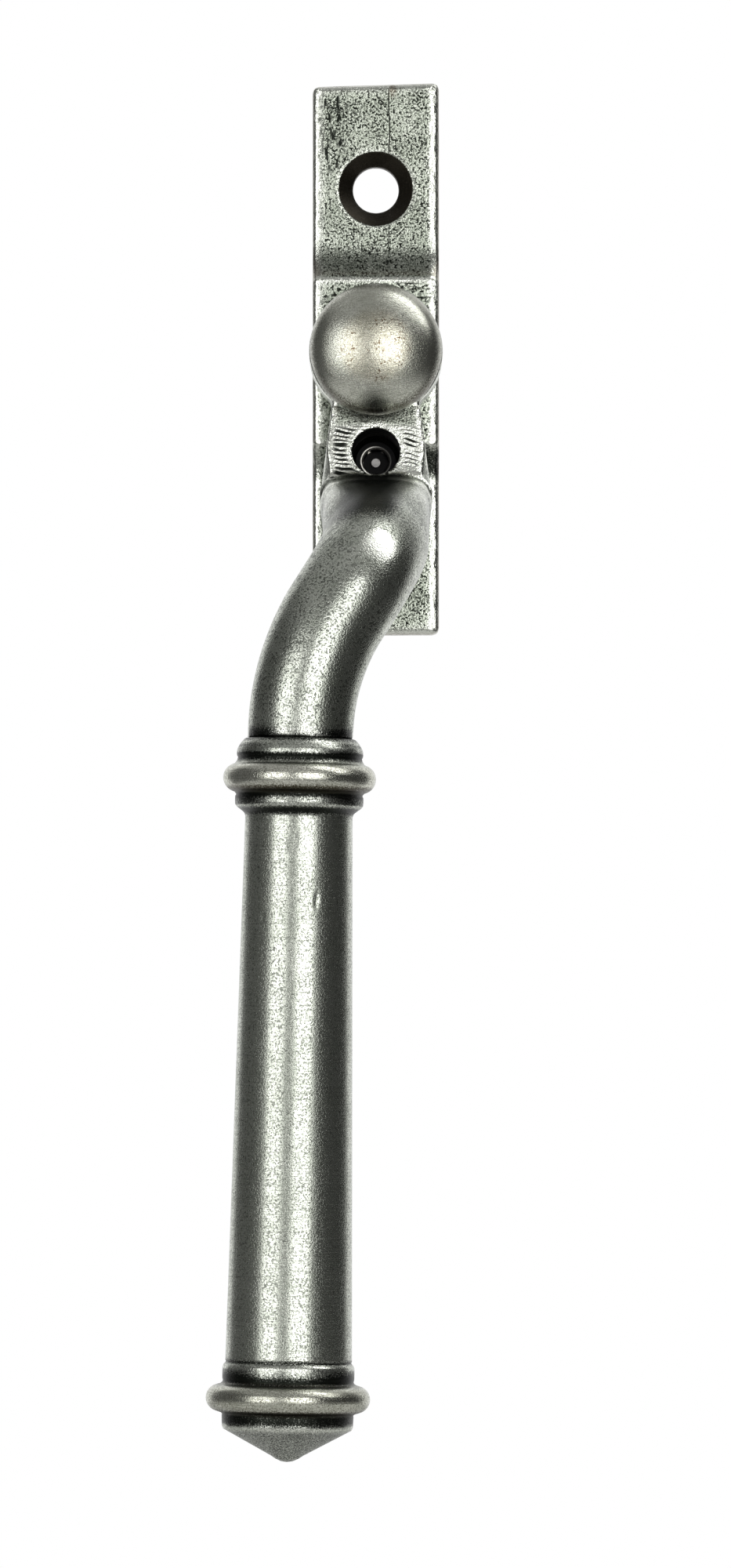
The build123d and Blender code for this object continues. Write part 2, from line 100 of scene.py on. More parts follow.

# How dark the grip is painted at distances down from the collar's top: blackening in its grooves, and painted
# shade under its beads and rings
BLACKENED_AND_SHADED = (
    (0.0, 0.9), (0.35, 0.6), (0.65, 0.2), (0.9, 0.45), (1.2, 0.15), (1.7, 0.15), (2.0, 0.85), (2.4, 1.0),
    (2.8, 0.65), (3.2, 0.25), (3.6, 0.15), (5.2, 0.15), (5.7, 0.2), (6.1, 0.75), (6.7, 1.0), (7.1, 0.85),
    (7.5, 0.45), (8.0, 0.4), (8.3, 0.35), (8.55, 0.7), (8.8, 1.0), (9.1, 0.95), (9.5, 0.45), (10.2, 0.2),
    (11.5, 0.05), (75.0, 0.05), (75.7, 0.35), (76.1, 0.85), (76.4, 0.4), (76.7, 0.1), (77.1, 0.3),
    (77.6, 0.5), (78.1, 0.8), (78.5, 1.0), (78.9, 0.65), (79.3, 0.15), (79.7, 0.1), (81.3, 0.15),
    (81.8, 0.35), (82.2, 0.9), (83.4, 0.9), (83.8, 0.6), (83.95, 0.25), (84.2, 0.2), (84.6, 0.55),
    (88.4, 0.52),
)

# Knocks on the grip: distance down, to the side, turn from upright, half length, half width and depth
KNOCKS = (
    (12.9, -0.6, 38.0, 1.3, 0.35, 0.16),
    (13.3, -1.2, 60.0, 0.8, 0.3, 0.1),
    (19.8, 2.4, 10.0, 0.9, 0.35, 0.14),
    (17.0, -5.0, 90.0, 0.45, 0.3, 0.14),
    (22.0, -4.1, 30.0, 0.45, 0.25, 0.1),
)

# The stage in metres and degrees, with the height of the handle's middle, which the soft boxes face
HANDLE_MIDDLE = -0.06
CAMERA_PLACE = (-0.001307, -1.0835, -0.0875365)
CAMERA_TURN = 91.78105
CAMERA_LENS_MM = 196.249
FLOOR_RADIUS = 0.22
FLOOR_HEIGHT = -0.165
TENT_RADIUS = 1.5

# Soft boxes: azimuth, elevation, width, height and level, where 1 is white
SOFT_BOXES = {
    "left_softbox": (-36, 6, 0.56, 0.74, 2.3),
    "right_softbox": (17.5, 6, 0.6, 0.74, 2.9),
    "top_light": (76, 53, 0.36, 0.8, 3.0),
}

# How bright the tent's cloth is to the left, behind the soft boxes, to the right, low down and overhead
TENT_LEFT = 0.1
TENT_MIDDLE = 0.22
TENT_RIGHT = 0.035
TENT_LOW = 0.66
TENT_HIGH = 0.38


def place(side, depth, height):
    """A point in metres from its side, depth and height in millimetres."""
    return Vector((side * MM, -depth * MM, height * MM))


def lock_out():
    """The direction in which the lock's bore opens."""
    tilt = math.radians(LOCK_TILT)
    return Vector((0, -math.cos(tilt), math.sin(tilt)))


def grip_down():
    """The direction down the grip's axis."""
    lean = math.radians(GRIP_LEAN)
    return Vector((-math.sin(lean), 0, -math.cos(lean)))


# Sizes and colours that a user would change


class HandleSettings(PropertyGroup):
    """Sizes and finishes of the handle"""

    grip_steps: IntProperty(
        name="Grip Steps", description="Steps that the grip's outline is spun in",
        default=180, min=24, max=256,
    )
    mesh_size: FloatProperty(
        name="Mesh Size", description="Spacing of the points on the forged pieces",
        default=0.0002, min=0.00015, max=0.001, precision=5, unit="LENGTH",
    )
    unevenness: FloatProperty(
        name="Unevenness", description="How far the forged surfaces wander from true",
        default=0.00006, min=0.0, max=0.0005, precision=6, unit="LENGTH",
    )
    pit_size: FloatProperty(
        name="Pit Size", description="Size of the etched pits in the plate's patina",
        default=0.00027, min=0.0001, max=0.001, precision=5, unit="LENGTH",
    )
    steel_colour: FloatVectorProperty(
        name="Steel", description="Burnished steel on the high places",
        default=(0.79, 0.81, 0.735), min=0.0, max=1.0, subtype="COLOR",
    )
    patina_colour: FloatVectorProperty(
        name="Patina", description="Grey-green patina on the open surfaces",
        default=(0.285, 0.315, 0.255), min=0.0, max=1.0, subtype="COLOR",
    )
    black_colour: FloatVectorProperty(
        name="Black", description="Blackening left in pits and corners",
        default=(0.014, 0.016, 0.013), min=0.0, max=1.0, subtype="COLOR",
    )
    floor_colour: FloatVectorProperty(
        name="Floor", description="Colour of the pale floor",
        default=(0.8, 0.8, 0.79), min=0.0, max=1.0, subtype="COLOR",
    )


# Node trees


class NodeMaker:
    """Adds nodes to a tree, with patterns read at one vector."""

    def __init__(self, tree):
        self.tree = tree
        self.where = None

    def fill(self, sockets, values):
        """Links inputs to sockets or sets them to values."""
        for name, value in values.items():
            if isinstance(value, bpy.types.NodeSocket):
                self.tree.links.new(value, sockets[name])
            else:
                sockets[name].default_value = value

    def add(self, kind, inputs=None, **settings):
        """The outputs of a new node."""
        made = self.tree.nodes.new("ShaderNode" + kind)
        for name, value in settings.items():
            setattr(made, name, value)
        self.fill(made.inputs, inputs or {})
        return made.outputs

    def step(self, operation, first, second=0.0, clamp=False):
        """One step of arithmetic on two values."""
        return self.add("Math", {0: first, 1: second}, operation=operation, use_clamp=clamp)[0]

    plus = partialmethod(step, "ADD")
    minus = partialmethod(step, "SUBTRACT")
    times = partialmethod(step, "MULTIPLY")
    larger = partialmethod(step, "MAXIMUM")

    def vector(self, operation, first, second=None, output=0):
        """One step of arithmetic on vectors, whose second output is a value."""
        inputs = {0: first} if second is None else {0: first, 1: second}
        return self.add("VectorMath", inputs, operation=operation)[output]

    def split(self, vector):
        """The three parts of a vector."""
        return self.add("SeparateXYZ", {0: vector})

    def turned(self, degrees, vector):
        """A vector turned about the second axis."""
        return self.add("Mapping", {0: vector, 2: (0, math.radians(degrees), 0)})[0]

    def at_size(self, size):
        """Reads the patterns that follow at a size."""
        inputs = {0: self.where, "Scale": self.step("DIVIDE", 1.0, size)}
        self.where = self.add("VectorMath", inputs, operation="SCALE")[0]

    def blend(self, share, first, second):
        """The second colour over the first, by a share."""
        return self.add("Mix", {0: share, 6: first, 7: second}, data_type="RGBA")[2]

    def ramp(self, value, low, high, to_low=0.0, to_high=1.0):
        """A value taken from one range to another with soft ends."""
        inputs = {0: value, 1: low, 2: high, 3: to_low, 4: to_high}
        return self.add("MapRange", inputs, interpolation_type="SMOOTHSTEP")[0]

    def noise(self, scale, detail=2.0, roughness=0.5):
        """The grey of a noise at a scale."""
        inputs = {"Vector": self.where, "Scale": scale, "Detail": detail, "Roughness": roughness}
        return self.add("TexNoise", inputs)[0]

    def mask(self, name):
        """A mask that the piece carries on its points."""
        return self.add("Attribute", attribute_name=name)["Fac"]

    def group(self, name, **inputs):
        """The outputs of a shared group, placed in this tree."""
        shared = bpy.data.node_groups.get(name) or GROUP_MAKERS[name]()
        return self.add("Group", inputs, node_tree=shared)

    def fine_grain(self, size):
        """The grey of the fine grain at a size."""
        return self.group("Fine Grain", Vector=self.where, Size=size)["Grain"]

    def file_marks(self, vector, length, spacing, threshold=0.59):
        """The marks of a file along a vector's first axis."""
        inputs = {"Vector": vector, "Length": length, "Spacing": spacing, "Threshold": threshold}
        return self.group("File Marks", **inputs)["Marks"]


class SharedGroup(NodeMaker):
    """A new shader group, whose patterns are read at its input called Vector."""

    def __init__(self, name, inputs, outputs):
        super().__init__(bpy.data.node_groups.new(name, "ShaderNodeTree"))
        for way, sockets in (("INPUT", inputs), ("OUTPUT", outputs)):
            for label, default in sockets.items():
                kind = "Vector" if default is None else "Color" if isinstance(default, tuple) else "Float"
                made = self.tree.interface.new_socket(label, in_out=way, socket_type="NodeSocket" + kind)
                if default is not None:
                    made.default_value = default
        self.given = self.tree.nodes.new("NodeGroupInput").outputs
        self.out = self.tree.nodes.new("NodeGroupOutput").inputs
        self.where = self.given["Vector"]


class Finish(NodeMaker):
    """A new material, whose patterns are read at the object's own coordinates."""

    def __init__(self, name):
        self.material = bpy.data.materials.new(name)
        self.material.use_nodes = True
        super().__init__(self.material.node_tree)
        self.principled = self.tree.nodes["Principled BSDF"].inputs
        self.where = self.add("TexCoord")["Object"]

    def show(self, values):
        """Links or sets the shader's own inputs."""
        self.fill(self.principled, values)


def pitting_group():
    """Etched pits: worm-like hollows of uneven size between low crests."""
    inputs = {"Vector": None, "Size": 0.0003, "Level": 0.48}
    group = SharedGroup("Etched Pits", inputs, {"Pits": 0.0, "Height": 0.0})
    group.at_size(group.given["Size"])
    field = group.noise(1.0, 1.2)
    patch = group.ramp(group.noise(0.12), 0.3, 0.7, -0.035, 0.035)
    above = group.minus(field, group.plus(group.given["Level"], patch))
    pits = group.minus(1.0, group.ramp(above, -0.06, 0.035))
    pits = group.times(pits, group.ramp(group.noise(0.6, 1.0), 0.36, 0.58, 0.5, 1.0))
    group.fill(group.out, {"Pits": pits, "Height": group.minus(field, group.times(pits, 0.35))})
    return group.tree


def grain_group():
    """Fine grain of blasted and blackened steel."""
    group = SharedGroup("Fine Grain", {"Vector": None, "Size": 0.00016}, {"Grain": 0.5})
    group.at_size(group.given["Size"])
    group.fill(group.out, {"Grain": group.ramp(group.noise(0.8, 2.0, 0.7), 0.3, 0.7)})
    return group.tree


def marks_group():
    """Short parallel marks of a file or a belt, along the first axis of the vector."""
    inputs = {"Vector": None, "Length": 0.004, "Spacing": 0.00025, "Threshold": 0.59}
    group = SharedGroup("File Marks", inputs, {"Marks": 0.0})
    along = group.step("DIVIDE", 1.0, group.given["Length"])
    across = group.step("DIVIDE", 1.0, group.given["Spacing"])
    stretch = group.add("CombineXYZ", {0: along, 1: across, 2: across})[0]
    group.where = group.vector("MULTIPLY", group.where, stretch)
    low = group.minus(group.given["Threshold"], 0.04)
    high = group.plus(group.given["Threshold"], 0.04)
    group.fill(group.out, {"Marks": group.ramp(group.noise(1.0, 2.0, 0.6), low, high)})
    return group.tree


def patina_group():
    """Colour and roughness of blackened and burnished steel from its masks, which also carry painted shade
    and a painted highlight.
    """
    inputs = {"Steel": (0.6, 0.6, 0.58, 1), "Patina": (0.3, 0.32, 0.3, 1), "Black": (0.02, 0.02, 0.02, 1)}
    inputs |= {"Vector": None, "Pits": 0.0, "Grain": 0.5, "Edge": 0.0, "Recess": 0.0, "Burnish": 0.3}
    group = SharedGroup("Pewter Patina", inputs, {"Color": (0, 0, 0, 1), "Roughness": 0.5})
    given = group.given
    cloud = group.noise(260.0, 3.0, 0.6)
    rub = group.plus(group.ramp(cloud, 0.3, 0.7, -0.09, 0.11), given["Burnish"])
    # Worn edges and the painted highlight, which shares their mask, brighten the metal
    rub = group.plus(rub, group.times(given["Edge"], 1.1))
    rub = group.plus(rub, group.ramp(given["Grain"], 0, 1, -0.22, 0.22), clamp=True)
    open_metal = group.blend(rub, given["Patina"], given["Steel"])
    # Blackening in the hollows and painted shade darken the metal
    blackening_and_shade_share = group.minus(group.times(given["Recess"], 2.0), given["Grain"], clamp=True)
    wear_and_glint = group.ramp(given["Edge"], 0.0, 0.8, 1.0, 0.2)
    dark = group.larger(blackening_and_shade_share, group.times(given["Pits"], wear_and_glint), clamp=True)
    rough = group.plus(group.ramp(rub, 0, 1, 0.27, 0.17), group.times(dark, 0.15))
    group.fill(group.out, {"Color": group.blend(dark, open_metal, given["Black"]), "Roughness": rough})
    return group.tree


GROUP_MAKERS = {
    "Etched Pits": pitting_group, "Fine Grain": grain_group,
    "File Marks": marks_group, "Pewter Patina": patina_group,
}


# Materials


def solid(colour):
    """A colour with full alpha."""
    return (*colour, 1.0)


class Pewter(Finish):
    """A new material of blackened steel, with its pits, its height and its grain."""

    def etch(self, size, level):
        """Etches pits of a size and level into the surface."""
        etched = self.group("Etched Pits", Vector=self.where, Size=size, Level=level)
        self.grain = self.fine_grain(0.00012)
        self.pits = etched["Pits"]
        self.height = self.plus(etched["Height"], self.times(self.grain, 0.3))

    def speckle(self, pits, grain_size, lift):
        """Gives the surface its pits, and a grain that lifts it."""
        self.grain = self.fine_grain(grain_size)
        self.pits = pits
        self.height = self.minus(self.times(self.grain, lift), pits)

    def mark(self, marks, depth):
        """Cuts marks into the surface."""
        self.pits = self.larger(self.pits, marks)
        self.height = self.minus(self.height, self.times(marks, depth))

    def patina(self, settings, burnish, bump):
        """Puts on the patina by how far the surface is burnished, and lets its height show."""
        # The edge mask also carries a painted highlight, and the blackening mask painted shade
        finish = self.group(
            "Pewter Patina", Steel=solid(settings.steel_colour), Patina=solid(settings.patina_colour),
            Black=solid(settings.black_colour), Vector=self.where, Pits=self.pits, Grain=self.grain,
            Edge=self.mask("edge"), Recess=self.mask("blackening_and_shade"), Burnish=burnish,
        )
        self.colour = finish["Color"]
        relief = self.add("Bump", {"Strength": bump, "Distance": 0.00004, "Height": self.height})[0]
        self.show({"Base Color": self.colour, "Roughness": finish["Roughness"]})
        self.show({"Normal": relief, "Metallic": 1.0})

    def stain(self, share, stain):
        """Lays a stain over the colour by a share."""
        self.colour = self.blend(share, self.colour, solid(stain))
        self.show({"Base Color": self.colour})


def plate_material(settings):
    """Etched plate: a fine seam runs down its upper end, beside a rusty stain, and its outer rim is brown."""
    made = Pewter("Pewter plate")
    side, _, rise = made.split(made.where)
    gouged = made.mask("gouged")
    made.etch(settings.pit_size, made.ramp(gouged, 0, 1, 0.5, 0.53))
    drift = made.times(made.noise(120.0, 3.0), 0.0011)
    away = made.step("ABSOLUTE", made.minus(made.minus(side, SEAM_SIDE * MM), drift))
    upper = made.times(made.ramp(rise, 0.015, 0.018, 0.6), made.ramp(rise, 0.0095, 0.0115))
    made.mark(made.times(made.ramp(away, 0.00004, 0.00012, 1, 0), upper), 1.0)
    gouges = made.file_marks(made.turned(84, made.where), 0.0022, 0.0007, 0.57)
    made.mark(made.times(gouges, gouged), 0.8)
    lines = made.file_marks(made.where, 0.004, 0.0004, 0.53)
    made.mark(made.times(lines, made.mask("filed")), 1.2)
    made.patina(settings, 0.14, 0.6)
    rust = made.times(made.ramp(rise, 0.0325, 0.0345), made.ramp(away, 0.0003, 0.0016, 0.8, 0.0))
    rust = made.times(rust, made.ramp(side, 0.0015, 0.002))
    made.stain(made.larger(rust, made.times(made.mask("rim"), 0.5)), (0.19, 0.15, 0.11))
    return made.material


def crank_material(settings):
    """Forged crank: fine pits, coarse file cuts beside the lock and brush strokes beside the crook."""
    made = Pewter("Pewter crank")
    side, _, rise = made.split(made.where)
    filed = made.mask("filed")
    made.etch(settings.pit_size * 0.92, 0.475)
    sway = made.plus(made.times(made.noise(330.0, 1.0), 0.0011), made.times(side, 0.12))
    along = made.add("CombineXYZ", {0: made.times(side, 0.35), 2: made.plus(rise, sway)})[0]
    waves = {"Vector": along, "Scale": 540.0, "Distortion": 3.5, "Detail": 2.0, "Detail Scale": 1.6}
    waves = made.add("TexWave", waves, bands_direction="Z")["Fac"]
    cloud = made.add("TexNoise", {"Vector": along, "Scale": 900.0})[0]
    waves = made.plus(waves, made.ramp(cloud, 0.3, 0.7, -0.3, 0.3))
    waves = made.plus(waves, made.times(made.file_marks(along, 0.0012, 0.00014, 0.5), 0.2))
    cuts = made.ramp(made.minus(waves, made.ramp(side, -0.001, 0.003, 0.52, 1.0)), -0.12, 0.16)
    made.pits = made.times(made.pits, made.ramp(filed, 0, 1, 0.88, 0.1))
    made.mark(made.times(cuts, filed), 1.2)
    strokes = made.file_marks(made.turned(50, made.where), 0.0025, 0.00018, 0.55)
    made.mark(made.times(made.times(strokes, made.mask("brushed")), 0.8), 0.6)
    _, radius, out = lock_line(made)
    # The lock's bore is painted black
    bore = made.times(made.ramp(out, 0.001, 0.002, 1, 0), made.ramp(out, -0.005, -0.0048))
    bore = made.times(bore, made.ramp(radius, 0.00303, 0.0031, 1, 0))
    made.pits = made.larger(made.pits, bore)
    made.patina(settings, made.ramp(filed, 0, 1, 0.22, 1.3), 0.5)
    return made.material


def cap_material(settings):
    """Satin cap: hardly pitted, warm, faintly brushed, with a few brown specks on the crown."""
    made = Pewter("Pewter cap")
    made.speckle(made.ramp(made.noise(7000.0, 2.0, 0.6), 0.5, 0.72, 0.0, 0.55), 0.00012, 0.5)
    made.mark(made.times(made.file_marks(made.where, 0.0022, 0.00015, 0.53), 0.22), 1.0)
    made.patina(settings, 0.64, 0.34)
    crown = made.mask("crown")
    made.stain(made.ramp(crown, 0, 1, 0.09, 0.26), (0.56, 0.45, 0.26))
    specks = made.ramp(made.noise(2600.0, 2.0, 0.6), 0.56, 0.64)
    specks = made.times(specks, made.ramp(made.noise(420.0, 1.0), 0.42, 0.58))
    made.stain(made.times(specks, crown), (0.13, 0.075, 0.03))
    return made.material


def grip_material(settings):
    """Turned grip: a fine speckle, and faint lines that run round it."""
    made = Pewter("Pewter grip")
    specks = made.ramp(made.noise(4300.0, 2.0, 0.6), 0.48, 0.64, 0.0, 0.68)
    specks = made.times(specks, made.ramp(made.noise(330.0, 3.0, 0.6), 0.3, 0.7, 0.75, 1.05))
    made.speckle(specks, 0.00013, 0.2)
    made.mark(made.times(made.file_marks(round_the_grip(made), 0.012, 0.00018), 0.3), 0.8)
    made.patina(settings, 0.45, 0.42)
    made.stain(made.times(made.mask("bead"), 0.14), (0.4, 0.31, 0.16))
    return made.material


def round_the_grip(made):
    """Object coordinates laid out round the grip's axis, so that marks run round it."""
    centred = made.add("Mapping", {0: made.where, 1: tuple(-place(*COLLAR_TOP))})[0]
    across, away, along = made.split(made.turned(-GRIP_LEAN, centred))
    round_length = made.times(made.step("ARCTAN2", away, across), 0.007)
    return made.add("CombineXYZ", {0: round_length, 1: along})[0]


def lock_line(made):
    """The way from the lock's mouth, how far from the lock's line and how far out along it."""
    out = tuple(lock_out())
    away = made.vector("SUBTRACT", made.where, tuple(place(*LOCK_MOUTH)))
    radius = made.vector("LENGTH", made.vector("CROSS_PRODUCT", away, out), output=1)
    return away, radius, made.vector("DOT_PRODUCT", away, out, output=1)


def lock_with_painted_glint(name, glint_radius, wear_and_glint, colour, glint_on_right):
    """Lock steel painted near black, with a painted glint in a ring about the lock's line, brightest on its
    left where the light falls.
    """
    made = Finish(name)
    from_mouth, radius, out = lock_line(made)
    away = made.step("ABSOLUTE", made.minus(radius, glint_radius))
    # Painted glint: a ring about the lock's line, faded on the right
    glint = made.ramp(away, wear_and_glint * 0.5, wear_and_glint, 1, 0)
    glint = made.times(glint, made.ramp(made.split(from_mouth)[0], -0.0012, 0.0012, 1.0, glint_on_right))
    glint = made.times(glint, made.ramp(made.fine_grain(0.0003), 0, 1, 0.7, 1.0))
    shade = made.blend(glint, (0.012, 0.012, 0.012, 1), solid(colour))
    rough = made.ramp(glint, 0, 1, 0.5, 0.3)
    made.show({"Base Color": shade, "Roughness": rough, "Metallic": 1.0})
    return made.material


def small_metal(name, colour, dark, roughness):
    """A plainer metal for the small pieces, cloudy and a little stained."""
    made = Finish(name)
    grain = made.fine_grain(0.0003)
    stain = made.ramp(made.noise(420.0, 3.0, 0.6), 0.35, 0.7)
    share = made.times(made.plus(grain, stain), 0.45, clamp=True)
    shade = made.blend(share, solid(colour), solid(dark))
    rough = made.ramp(share, 0, 1, roughness, roughness + 0.2)
    relief = made.add("Bump", {"Strength": 0.4, "Distance": 0.00002, "Height": grain})[0]
    made.show({"Base Color": shade, "Roughness": rough, "Normal": relief, "Metallic": 1.0})
    return made.material


def nylon_material():
    """Black nylon, faintly speckled."""
    made = Finish("Nylon")
    speckle = made.ramp(made.noise(2500.0), 0.3, 0.7)
    shade = made.blend(speckle, (0.08, 0.08, 0.08, 1), (0.13, 0.13, 0.125, 1))
    made.show({"Base Color": shade, "Roughness": made.ramp(speckle, 0, 1, 0.45, 0.6)})
    return made.material


# Modelling


def select_only(piece):
    """Selects one object alone and makes it active."""
    bpy.ops.object.select_all(action="DESELECT")
    piece.select_set(True)
    bpy.context.view_layer.objects.active = piece


def apply_modifier(piece, kind, **settings):
    """Adds a modifier with its settings and applies it."""
    select_only(piece)
    modifier = piece.modifiers.new(kind.title(), kind)
    for name, value in settings.items():
        setattr(modifier, name, value)
    bpy.ops.object.modifier_apply(modifier=modifier.name)


def apply_place(piece):
    """Puts the object's place into its mesh."""
    select_only(piece)
    bpy.ops.object.transform_apply()


def merge_doubles(piece, outwards=False):
    """Merges doubled points, and may turn the faces outwards."""
    select_only(piece)
    bpy.ops.object.mode_set(mode="EDIT")
    bpy.ops.mesh.select_all(action="SELECT")
    bpy.ops.mesh.remove_doubles(threshold=0.000002)
    if outwards:
        bpy.ops.mesh.normals_make_consistent(inside=False)
    bpy.ops.object.mode_set(mode="OBJECT")


def spun_piece(name, outline, steps, spacing, turn, spot=(0, 0, 0)):
    """Draws an outline of radius and height, divides it, spins it and puts it in its place."""
    bpy.ops.object.select_all(action="DESELECT")
    bpy.ops.mesh.primitive_plane_add(size=MM, location=(0, 0, 0))
    piece = bpy.context.object
    piece.name = name
    bpy.ops.object.mode_set(mode="EDIT")
    bpy.ops.mesh.select_all(action="SELECT")
    bpy.ops.mesh.merge(type="CENTER")
    radius, height = outline[0]
    bpy.ops.transform.translate(value=(radius * MM, 0, height * MM))
    for last, following in zip(outline, outline[1:]):
        step = ((following[0] - last[0]) * MM, 0, (following[1] - last[1]) * MM)
        bpy.ops.mesh.extrude_region_move(TRANSFORM_OT_translate={"value": step})
    divide_long_edges(piece, spacing)
    bpy.ops.mesh.select_all(action="SELECT")
    bpy.ops.mesh.spin(steps=steps, angle=math.tau, center=(0, 0, 0), axis=(0, 0, 1))
    bpy.ops.object.mode_set(mode="OBJECT")
    merge_doubles(piece, outwards=True)
    bpy.ops.object.shade_smooth()
    piece.rotation_euler = turn
    piece.location = spot
    apply_place(piece)
    return piece


def divide_long_edges(piece, spacing):
    """Divides the outline's runs until none is longer than the spacing."""
    mesh = bmesh.from_edit_mesh(piece.data)
    counts = sorted({math.ceil(edge.calc_length() / spacing) for edge in mesh.edges} - {0, 1})
    for count in counts:
        bpy.ops.mesh.select_all(action="DESELECT")
        mesh = bmesh.from_edit_mesh(piece.data)
        for edge in mesh.edges:
            edge.select_set(math.ceil(edge.calc_length() / spacing - 0.001) == count)
        bmesh.update_edit_mesh(piece.data)
        bpy.ops.mesh.subdivide(number_cuts=count - 1)


def copied_node(node, name):
    """A merged copy of a CAD node's mesh as a new object."""
    piece = bpy.data.objects.new(name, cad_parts[node].data.copy())
    bpy.context.scene.collection.objects.link(piece)
    merge_doubles(piece)
    return piece


def make_uneven(piece, size, detail, strength):
    """Lets the piece's surface wander a little from true."""
    waves = bpy.data.textures.new(piece.name + " waves", "CLOUDS")
    waves.noise_scale = size
    waves.noise_depth = detail
    apply_modifier(piece, "DISPLACE", texture=waves, strength=strength)


def forge(piece, settings, spacing):
    """Gives a copy an even fine mesh, softened edges and a slightly uneven surface."""
    apply_modifier(piece, "REMESH", mode="VOXEL", voxel_size=spacing, use_smooth_shade=True)
    apply_modifier(piece, "SMOOTH", factor=0.5, iterations=2)
    make_uneven(piece, 0.006, 1, settings.unevenness)
    bpy.ops.object.shade_smooth()


def stored(items, name, width, kind=np.float32):
    """What a mesh's items store under a name, a row for each."""
    flat = np.empty(len(items) * width, kind)
    items.foreach_get(name, flat)
    return flat.reshape(-1, width)


def points_of(piece):
    """The piece's points as an array in metres."""
    return stored(piece.data.vertices, "co", 3).astype(float)


def normals_of(piece):
    """The normals at the piece's points."""
    return stored(piece.data.vertex_normals, "vector", 3).astype(float)


def set_points(piece, points):
    """Moves the piece's points."""
    piece.data.vertices.foreach_set("co", points.astype(np.float32).ravel())
    piece.data.update()


def set_mask(piece, name, values):
    """Stores a mask from 0 to 1 on the piece's points."""
    attribute = piece.data.attributes.new(name, "FLOAT", "POINT")
    attribute.data.foreach_set("value", np.clip(values, 0, 1).astype(np.float32))


def in_mm(points):
    """The side, depth and height of points in millimetres."""
    return points[:, 0] / MM, -points[:, 1] / MM, points[:, 2] / MM


def away_from(points, spot):
    """The way to points in metres from a place in millimetres."""
    return points - np.array(place(*spot))


def in_front_of_flat(points):
    """How far points stand in front of the flat that carries the lock, in millimetres."""
    return away_from(points, LOCK_MOUTH) @ np.array(lock_out()) / MM


def from_lock_line(points):
    """How far points are from the lock's line, in millimetres."""
    across = np.cross(away_from(points, LOCK_MOUTH), np.array(lock_out()))
    return np.linalg.norm(across, axis=1) / MM


def down_the_grip(points):
    """How far down the grip's axis points are from the collar's top, in millimetres."""
    return away_from(points, COLLAR_TOP) @ np.array(grip_down()) / MM


def averaged(piece, values, rounds):
    """Values evened out along the mesh's edges."""
    edges = stored(piece.data.edges, "vertices", 2, np.int32)
    first, second = edges.T
    count = np.bincount(edges.ravel(), minlength=len(values)).astype(float)
    count[count == 0] = 1
    for _ in range(rounds):
        total = np.zeros_like(values)
        for column in range(values.shape[1]):
            total[:, column] = np.bincount(first, values[second, column], len(values))
            total[:, column] += np.bincount(second, values[first, column], len(values))
        values = 0.4 * values + 0.6 * total / count[:, None]
    return values


def wear_masks(piece, rounds, edge_height, recess_height, edge, blackening_and_shade):
    """Masks of the edges and the hollows, from how far points stand off their evened-out places, raised to
    given floors which also carry painted shade and a painted highlight.
    """
    points = points_of(piece)
    stand = np.einsum("ij,ij->i", points - averaged(piece, points, rounds), normals_of(piece))
    stand = averaged(piece, stand[:, None], 3)[:, 0] / MM
    set_mask(piece, "edge", np.maximum(stand / edge_height, edge))
    set_mask(piece, "blackening_and_shade", np.maximum(-stand / recess_height, blackening_and_shade))


def rising(values, low, high):
    """0 below low, 1 above high, and a soft run between."""
    share = np.clip((values - low) / (high - low), 0, 1)
    return share * share * (3 - 2 * share)


def falling(values, low, high):
    """1 below low, 0 above high, and a soft run between."""
    return 1 - rising(values, low, high)


def nearest(values, marks):
    """How far each value is from the nearest of the marks."""
    return np.abs(values[:, None] - np.array(marks)).min(axis=1)


def finish_piece(piece, material, body, slot, *nodes):
    """Gives a piece its material and body, in place of CAD nodes; the slot is not used."""
    piece.data.materials.clear()
    piece.data.materials.append(material)
    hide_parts(*nodes)
    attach(piece, body)


# Pieces


def plate_front(height):
    """How far the plate's front stands out at a height, in millimetres: flat, cove and boss."""
    run = COVE_START - BOSS_HALF
    rise = BOSS_DEPTH - PLATE_DEPTH
    cove = (run**2 + rise**2) / (2 * rise)
    into = np.clip(COVE_START - np.abs(height), 0, run)
    return PLATE_DEPTH + cove - np.sqrt(cove**2 - into**2)


def hand_filed(inside, rim, step, band, drop):
    """How far a hand-filed edge falls away: steeply over the rim, then gently over the band."""
    steep = drop + (rim - inside) * step
    gentle = drop * (band - inside) / (band - rim)
    return np.clip(np.where(inside < rim, steep, gentle), 0, PLATE_BEVEL)


def dress_plate(points):
    """Files the plate's bevel by hand, its top edge and boss a little out of true."""
    side, depth, height = in_mm(points)
    from_side = PLATE_HALF_WIDTH - np.abs(side)
    from_end = PLATE_HALF_HEIGHT - np.abs(height)
    wander = 0.1 * np.sin(height * 1.3 + side) + 0.07 * np.sin(height * 3.7 + 1.0)
    long_edges = hand_filed(from_side, 0.35, 1.57, 0.95 + wander, 0.2)
    filed = np.maximum(long_edges, hand_filed(from_end, 0.3, 2.17, 0.75, 0.15))
    sharp = np.clip(PLATE_BEVEL - np.minimum(from_side, from_end), 0, None)
    facing = falling(plate_front(height) - depth, PLATE_BEVEL, PLATE_BEVEL + 0.25)
    points[:, 1] += (filed - sharp) * facing * MM
    slope = rising(height, 24.0, 35.0) * (PLATE_HALF_WIDTH - side) / (2 * PLATE_HALF_WIDTH)
    points[:, 2] -= 0.5 * slope * MM
    boss = falling(np.abs(height), COVE_START, COVE_START + 2) * rising(depth, 2.9, 3.4)
    boss *= rising(np.hypot(side, height), BUSH_RADIUS + 0.5, BUSH_RADIUS + 2.5)
    boss *= rising(from_lock_line(points), PIN_SEAT_RADIUS + 0.3, PIN_SEAT_RADIUS + 2.5)
    points[:, 2] -= BOSS_DROP * boss * MM
    return points


